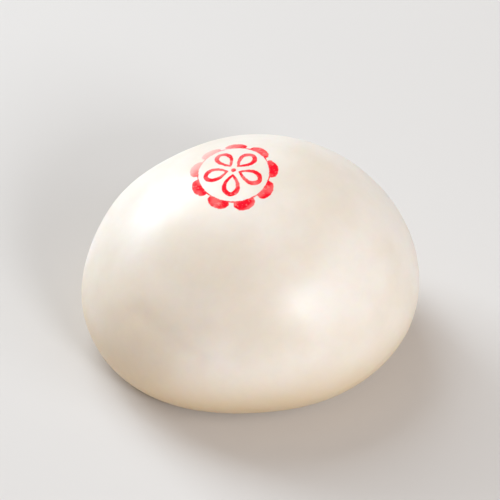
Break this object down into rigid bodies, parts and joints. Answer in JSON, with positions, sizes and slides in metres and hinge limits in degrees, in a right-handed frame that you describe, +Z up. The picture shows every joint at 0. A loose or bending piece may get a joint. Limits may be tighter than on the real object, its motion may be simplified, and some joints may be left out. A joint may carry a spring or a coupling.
{
  "type": "steamed bun",
  "caption": "Whole steamed bun of smooth white dough: a plump, slightly leaning dome on a flat base, with a red flower stamp on its crown.",
  "frame": {"origin": "middle of the bun's outline seen from above, on the plane of the flat base", "axes": "+Z up from the base to the crown; -Y is the shown front; +X is the side to which the crown leans"},
  "size_m": [0.085, 0.0816, 0.0536],
  "materials": {
    "steamed_skin": "creamy white steamed dough skin, smooth and slightly satin, with a red food-colour stamp on the crown and a duller flat base"
  },
  "bodies": {
    "root": {"bun": "steamed_skin"}
  },
  "joints": []
}
